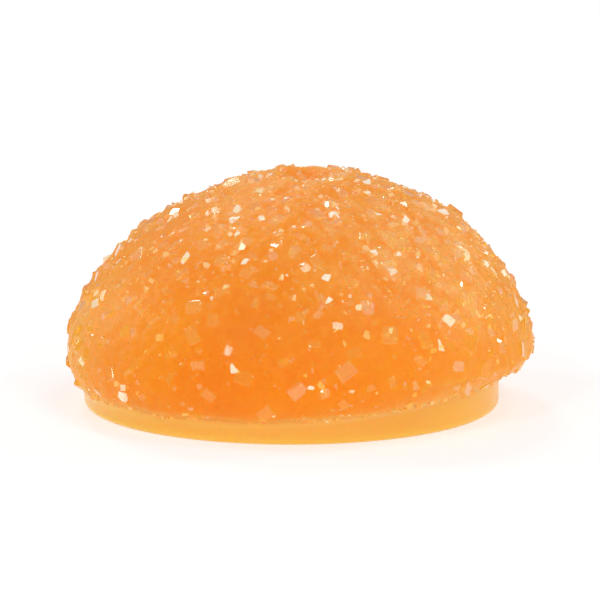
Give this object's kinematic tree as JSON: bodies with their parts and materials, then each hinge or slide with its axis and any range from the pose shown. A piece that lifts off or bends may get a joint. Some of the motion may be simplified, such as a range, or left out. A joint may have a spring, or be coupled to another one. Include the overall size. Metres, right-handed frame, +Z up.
{
  "type": "sugared fruit jelly dome sweet",
  "caption": "Orange half-round fruit jelly sweet coated in granulated sugar, with a small pit in its top and a bare band above its flat underside.",
  "frame": {"origin": "under the middle of the sweet, on the surface it stands on; the foot itself lies 0.4 mm to the left of it", "axes": "+Z up through the pit in the top; -Y is the side the picture shows, where the bare band widens towards +X"},
  "size_m": [0.0223, 0.0224, 0.0113],
  "materials": {
    "sugared_jelly": "soft translucent orange fruit jelly under a thin, uneven coat of clear granulated sugar"
  },
  "bodies": {
    "root": {"jelly_dome": "sugared_jelly"}
  },
  "joints": []
}
